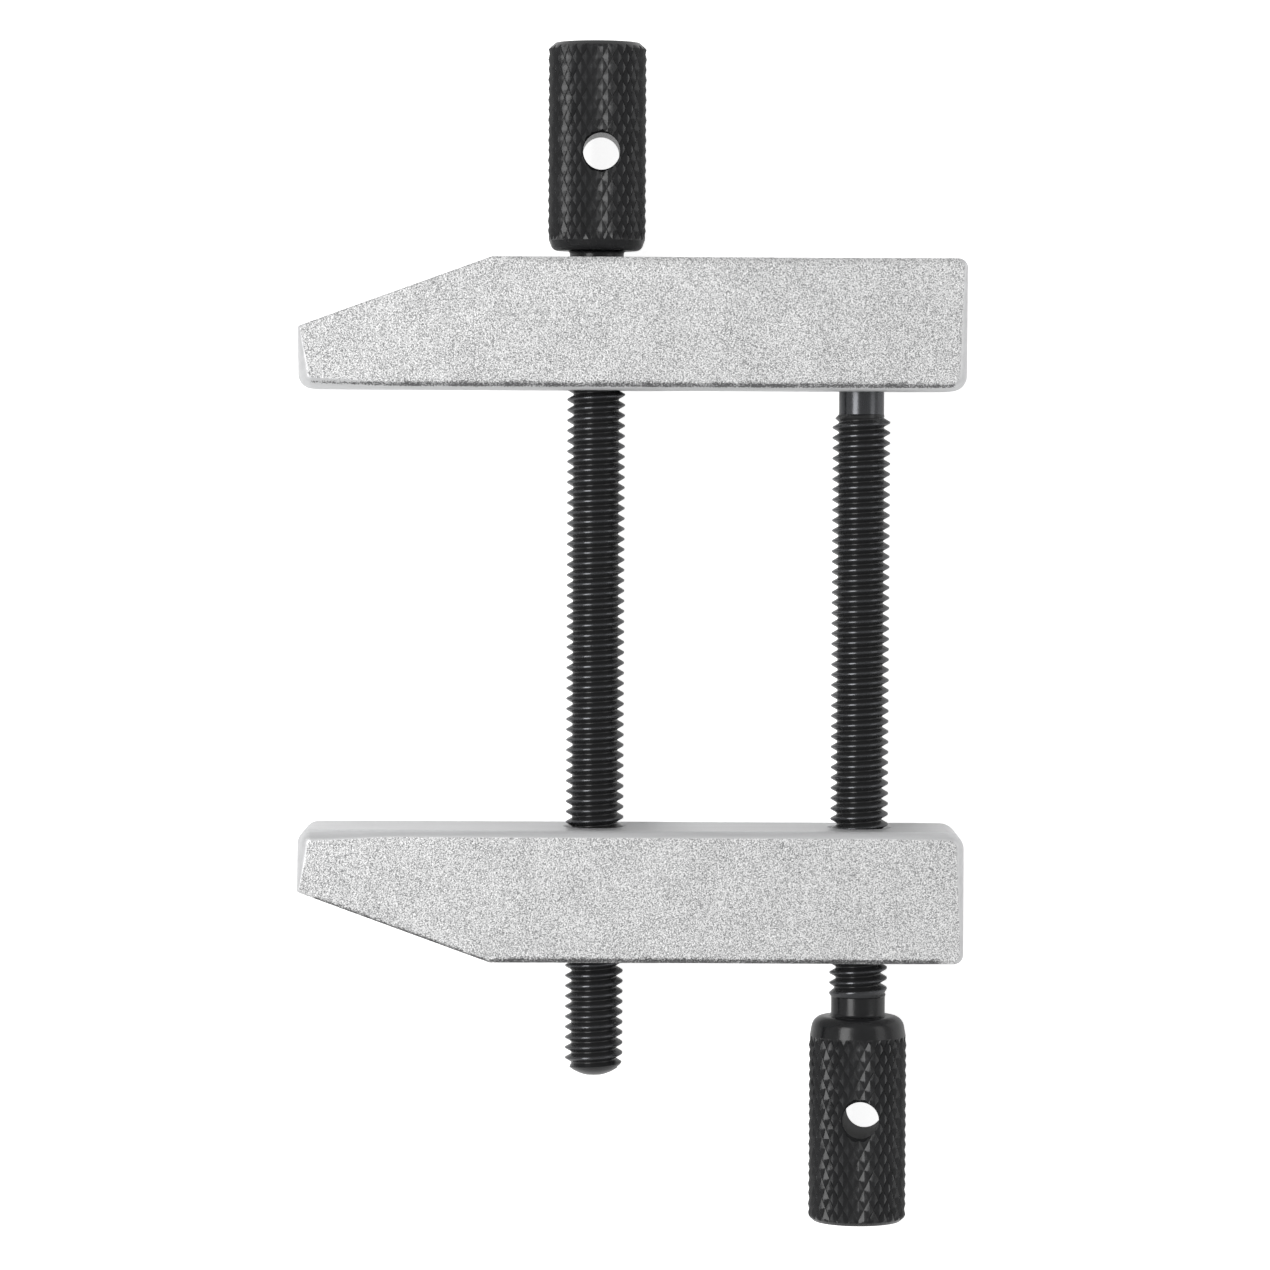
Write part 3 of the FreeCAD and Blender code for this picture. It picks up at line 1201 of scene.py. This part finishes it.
@dataclass(frozen=True)
class BlastedSteel:
    """Bright blasted steel, ground smooth near the clamping face and the ends."""

    dark: tuple[float, float, float] = (0.15, 0.152, 0.157)
    light: tuple[float, float, float] = (1.0, 1.0, 1.0)
    smooth: tuple[float, float, float] = (0.745, 0.748, 0.755)
    # Painted shade: the dark line along the edge that faces -Y, for that edge's dark reflection
    painted_dark_colour: tuple[float, float, float] = (0.035, 0.035, 0.037)
    grain_size: float = 0.00019
    grain_depth: float = 0.00008
    streak_scale: tuple[float, float, float] = (60.0, 900.0, 2500.0)
    streak_level: float = 0.88
    painted_dark_share: float = 0.85
    roughness: float = 0.56
    ground_roughness: float = 0.42
    metallic: float = 0.6

    def material(self, grain: bpy.types.NodeTree) -> bpy.types.Material:
        """Builds the material.

        Args:
            grain: Shared group of the blasted grain.

        Returns:
            The finished material.
        """
        material, n, shader = new_material("blasted_steel")
        place = n.add("ShaderNodeTexCoord").outputs["Object"]
        blast = n.group(grain, {"Place": place, "Size": self.grain_size})
        ground, burr = n.mark("ground"), n.mark("burr")
        fleck = n.math("ADD", n.math("MULTIPLY", blast["Fleck"], 0.93),
                       n.math("MULTIPLY", blast["Cloud"], 0.07))
        stretched = n.feed(n.add("ShaderNodeMapping"), {0: place})
        stretched.inputs["Scale"].default_value = self.streak_scale
        streak = n.ramp(n.noise(stretched.outputs[0], scale=1.0, detail=3.0, rough=0.6),
                        low=0.3, high=0.7)
        darker = tuple(self.streak_level * c for c in self.smooth)
        worked = n.mix(ground, n.mix(fleck, self.dark, self.light),
                       n.mix(streak, darker, self.smooth))
        # Painted shade: the dark edge mark, made ragged by noise, turns the base colour dark and
        # dents the bump
        ragged = n.math("MULTIPLY", n.noise(place, scale=4600.0, detail=3.0, rough=0.7), 2.6)
        patches = n.ramp(n.noise(place, scale=420.0, detail=2.0, rough=0.6), low=0.3, high=0.65,
                         to_low=-0.16, to_high=0.12)
        painted_dark_line = n.ramp(n.math("ADD", n.math("ADD", burr, ragged), patches), low=1.90, high=2.32)
        smoother = n.math("MULTIPLY", ground, self.ground_roughness - self.roughness)
        bump = n.add("ShaderNodeBump")
        n.feed(bump, {
            "Distance": self.grain_depth,
            "Strength": n.math("SUBTRACT", 1.0, n.math("MULTIPLY", ground, 0.92)),
            "Height": n.math("SUBTRACT", blast["Height"], n.math("MULTIPLY", painted_dark_line, 0.8))})
        n.feed(shader, {
            "Base Color": n.mix(n.math("MULTIPLY", painted_dark_line, self.painted_dark_share), worked, self.painted_dark_colour),
            "Roughness": n.math("ADD", self.roughness, smoother),
            "Metallic": self.metallic, "Normal": bump.outputs[0]})
        return material


@dataclass(frozen=True)
class BlackOxide:
    """Blackened and lightly oiled steel: painted light on the thread, bright where rubbed or
    bare.

    The three colours are the turned surface's, the cut thread's, which is painted light that
    lifts the shade between its flanks, and the rubbed metal's. A crest's three radii are where
    the rubbing starts, where it is full and where it ends.
    """

    axis_x: float
    axis_z: float
    bore_roughness: float
    colour: tuple[float, float, float] = (0.0085, 0.0087, 0.0093)
    # Painted light: lifts the shade between the thread's flanks
    cut: tuple[float, float, float] = (0.0205, 0.0207, 0.0213)
    rubbed: tuple[float, float, float] = (0.098, 0.100, 0.106)
    dusty_level: float = 1.7
    roughness: float = 0.16
    mark_roughness: float = 0.12
    ior: float = 1.42
    thread_crest: tuple[float, float, float] = (3.75, 4.0, 4.5)
    knurl_crest: tuple[float, float, float] = (6.58, 6.72, 8.0)
    knurl_share: float = 0.30
    bare_share: float = 0.85
    bump_strength: float = 0.35
    bump_depth: float = 0.00003

    def material(self, name: str, rub: bpy.types.NodeTree) -> bpy.types.Material:
        """Builds the material, centred on one screw's axis.

        Args:
            name: Name of the finish on this screw.
            rub: Shared group of the rubbed crests.

        Returns:
            The finished material.
        """
        material, n, shader = new_material(name)
        place = n.add("ShaderNodeTexCoord").outputs["Object"]
        centred = n.feed(n.add("ShaderNodeMapping"), {0: place})
        centred.inputs["Location"].default_value = (-self.axis_x * MM, 0.0, -self.axis_z * MM)
        thread, knurl = (
            n.group(rub, {"Place": centred.outputs[0], "Low": low * MM, "High": high * MM,
                          "Top": top * MM})
            for low, high, top in (self.thread_crest, self.knurl_crest))
        bore, cut, bare = n.mark("bore"), n.mark("cut"), n.mark("bare")
        rubbed = n.math("ADD", n.math("MULTIPLY", thread["Rub"], cut),
                        n.math("MULTIPLY", knurl["Rub"], self.knurl_share))
        rubbed = n.math("MULTIPLY", rubbed, n.math("SUBTRACT", 1.0, bore))
        metal = n.math("MAXIMUM", rubbed, n.math("MULTIPLY", bare, self.bare_share))
        dusty = tuple(self.dusty_level * c for c in self.colour)
        # Painted light: the thread takes the paler colour, which lifts the shade between its
        # flanks
        black = n.mix(knurl["Mark"], n.mix(cut, self.colour, self.cut),
                      n.mix(cut, dusty, self.cut))
        worn = n.math("ADD", self.roughness, n.math("MULTIPLY", knurl["Mark"],
                                                    self.mark_roughness))
        drilled = n.math("MULTIPLY", bore, n.math("SUBTRACT", self.bore_roughness, worn))
        bump = n.feed(n.add("ShaderNodeBump"), {
            "Strength": self.bump_strength, "Distance": self.bump_depth,
            "Height": n.noise(place, scale=3500.0, detail=3.0, rough=0.6)})
        n.feed(shader, {
            "Base Color": n.mix(metal, black, self.rubbed), "Metallic": metal,
            "Roughness": n.math("ADD", worn, drilled), "IOR": self.ior,
            "Normal": bump.outputs[0]})
        return material


# Studio

@dataclass(frozen=True)
class SoftBox:
    """Soft lamp that faces the clamp: its place and size in metres, its power in watts."""

    name: str
    place: tuple[float, float, float]
    size: tuple[float, float]
    watts: float

    def build(self) -> bpy.types.Object:
        """Adds the lamp, its first size across and its second towards +Y.

        Returns:
            The lamp.
        """
        data = bpy.data.lights.new(self.name, "AREA")
        data.shape = "RECTANGLE"
        data.size, data.size_y = self.size
        data.energy = self.watts
        lamp = bpy.data.objects.new(self.name, data)
        lamp.location = self.place
        back = Vector(self.place).normalized()
        along = (Vector((0.0, 1.0, 0.0)) - back * back.y).normalized()
        turn = Matrix((along.cross(back), along, back)).transposed()
        lamp.rotation_euler = turn.to_euler()
        bpy.context.scene.collection.objects.link(lamp)
        return lamp


@dataclass(frozen=True)
class Studio:
    """Pale bench, soft lamps and the camera above the clamp.

    The eye is in millimetres, tilt and roll are in radians, and a span is the range of a
    direction's Y or Z over which the room's level changes.
    """

    eye: tuple[float, float, float] = (0.37, 28.41, 724.9)
    tilt: float = -0.0399
    roll: float = 0.0044
    lens: float = 148.2
    sensor: float = 36.0
    clip_start: float = 0.05
    overhead: float = 0.40
    low_front: float = 0.80
    low_back: float = 0.48
    side_span: tuple[float, float] = (-0.9, 0.8)
    overhead_span: tuple[float, float] = (0.30, 0.95)
    bench_reach: float = 3.0
    bench_colour: tuple[float, float, float] = (0.86, 0.86, 0.86)
    bench_roughness: float = 0.9
    bench_seen: float = 0.76
    bench_mirrored: float = 0.15
    white: tuple[float, float, float] = (1.0, 1.0, 1.0)
    lamps: tuple[SoftBox, ...] = (SoftBox("left_box", (-0.53, 0.12, 0.84), (0.44, 0.95), 6.3),
                                  SoftBox("right_box", (0.62, 0.20, 0.40), (0.30, 0.60), 0.6))

    def camera(self) -> None:
        """Adds the camera, high above the lying clamp and tipped a little towards -Y."""
        data = bpy.data.cameras.new("camera")
        data.lens = self.lens
        data.sensor_width = self.sensor
        data.clip_start = self.clip_start
        eye = bpy.data.objects.new("camera", data)
        eye.location = tuple(v * MM for v in self.eye)
        eye.rotation_euler = (self.tilt, 0.0, self.roll)
        bpy.context.scene.collection.objects.link(eye)
        bpy.context.scene.camera = eye

    def world(self) -> None:
        """Makes the room: brightest low at -Y, dimmer towards +Y and dimmest overhead.

        Its strength is the side's level, which falls evenly from -Y to +Y, mixed by the
        height of the direction into the level overhead.
        """
        world = bpy.data.worlds.new("studio")
        world.use_nodes = True
        bpy.context.scene.world = world
        n = Nodes(world.node_tree)
        _, y, z = n.parts(n.add("ShaderNodeTexCoord").outputs["Generated"])
        side = n.ramp(y, *self.side_span, self.low_front, self.low_back)
        high = n.ramp(z, *self.overhead_span)
        level = n.math("ADD", n.math("MULTIPLY", high, self.overhead),
                       n.math("MULTIPLY", n.math("SUBTRACT", 1.0, high), side))
        n.feed(world.node_tree.nodes["Background"], {"Color": self.white, "Strength": level})

    def bench(self) -> None:
        """Adds the bench: it glows white to the camera and a little in mirrors."""
        mesh = bpy.data.meshes.new("bench")
        reach = self.bench_reach
        mesh.from_pydata([(-reach, -reach, 0), (reach, -reach, 0), (reach, reach, 0),
                          (-reach, reach, 0)], [], [(0, 1, 2, 3)])
        bench = bpy.data.objects.new("bench", mesh)
        bpy.context.scene.collection.objects.link(bench)
        material, n, shader = new_material("bench_paper")
        path = n.add("ShaderNodeLightPath").outputs
        mirrored = n.math("MAXIMUM", path["Is Glossy Ray"], path["Is Transmission Ray"])
        glow = n.math("ADD", n.math("MULTIPLY", path["Is Camera Ray"], self.bench_seen),
                      n.math("MULTIPLY", mirrored, self.bench_mirrored))
        n.feed(shader, {"Base Color": self.bench_colour, "Roughness": self.bench_roughness,
                        "Emission Color": self.white, "Emission Strength": glow})
        mesh.materials.append(material)

    def build(self) -> None:
        """Adds everything around the clamp."""
        self.camera()
        self.world()
        self.bench()
        for lamp in self.lamps:
            lamp.build()
        bpy.context.scene.view_settings.view_transform = "Standard"


# Clamp

@dataclass(frozen=True)
class Clamp:
    """The whole clamp: where its pieces stand, and what each is finished with.

    A play is the clearance round a thread, the slack is the room under the middle head, and
    the gap lies between the rear head and the lower jaw's back. Below that back the middle
    thread keeps its full width over tip_out, and tip_plain is the end of its dome without
    thread. The dog shows over dog_out between its thread and the upper jaw.
    """

    upper_face: float = 33.285
    lower_face: float = -26.415
    middle_x: float = -4.95
    rear_x: float = 31.35
    tapped_play: float = 0.05
    free_play: float = 0.10
    socket_radius: float = 3.14
    socket_depth: float = 9.0
    middle_slack: float = 1.03
    rear_gap: float = 7.9
    tip_out: float = 13.9
    tip_plain: float = 0.95
    dog_out: float = 3.1

    def jaws(self) -> list[Jaw]:
        """Sizes both jaws, with the holes that the screws need.

        Returns:
            The upper and the lower jaw.
        """
        free, tapped = Thread.radius + self.free_play, Thread.radius + self.tapped_play
        socket = Hole(self.rear_x, self.socket_radius, self.socket_depth)
        return [UpperJaw(face_y=self.upper_face, holes=(Hole(self.middle_x, free), socket)),
                LowerJaw(face_y=self.lower_face,
                         holes=(Hole(self.middle_x, tapped), Hole(self.rear_x, tapped)))]

    def screws(self) -> list[ClampScrew]:
        """Sizes both screws from where they stand in the jaws.

        Returns:
            The middle and the rear screw.
        """
        back = self.lower_face - Jaw.height
        middle = self.upper_face + Jaw.height + self.middle_slack
        tip = middle - (back - self.tip_out - MiddleScrew.dome_length)
        rear = back - self.rear_gap
        return [MiddleScrew(axis_x=self.middle_x, shoulder_y=middle, tip=tip,
                            thread_end=tip - self.tip_plain),
                RearScrew(axis_x=self.rear_x, shoulder_y=rear,
                          tip=self.upper_face + self.socket_depth - rear,
                          thread_end=self.upper_face - self.dog_out - rear)]

    def build(self) -> None:
        """Makes, dresses and seats every piece on its body."""
        steel = BlastedSteel().material(grain_group())
        rub = rub_group()
        for jaw in self.jaws():
            piece = jaw.build()
            piece.data.materials.append(steel)
            self.seat(piece, jaw.node, "jaw_steel")
        for screw in self.screws():
            piece = screw.build()
            black = BlackOxide(screw.axis_x, screw.axis_z, screw.bore_roughness)
            piece.data.materials.append(black.material("black_" + screw.node, rub))
            self.seat(piece, screw.node, "screw_black")

    @staticmethod
    def seat(piece: bpy.types.Object, node: str, slot: str) -> None:
        """Lets a piece stand for its solid and move with its body.

        Args:
            piece: Finished piece.
            node: Solid that it replaces, which is also the name of its body.
            slot: Material slot of the record that it is finished as; not used.
        """
        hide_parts(node)
        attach(piece, node)
        log.info("%s: %d faces", piece.name, len(piece.data.polygons))


def main() -> None:
    """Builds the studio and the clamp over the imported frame."""
    logging.basicConfig(level=logging.INFO)
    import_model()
    Studio().build()
    Clamp().build()


if __name__ == "__main__":
    main()
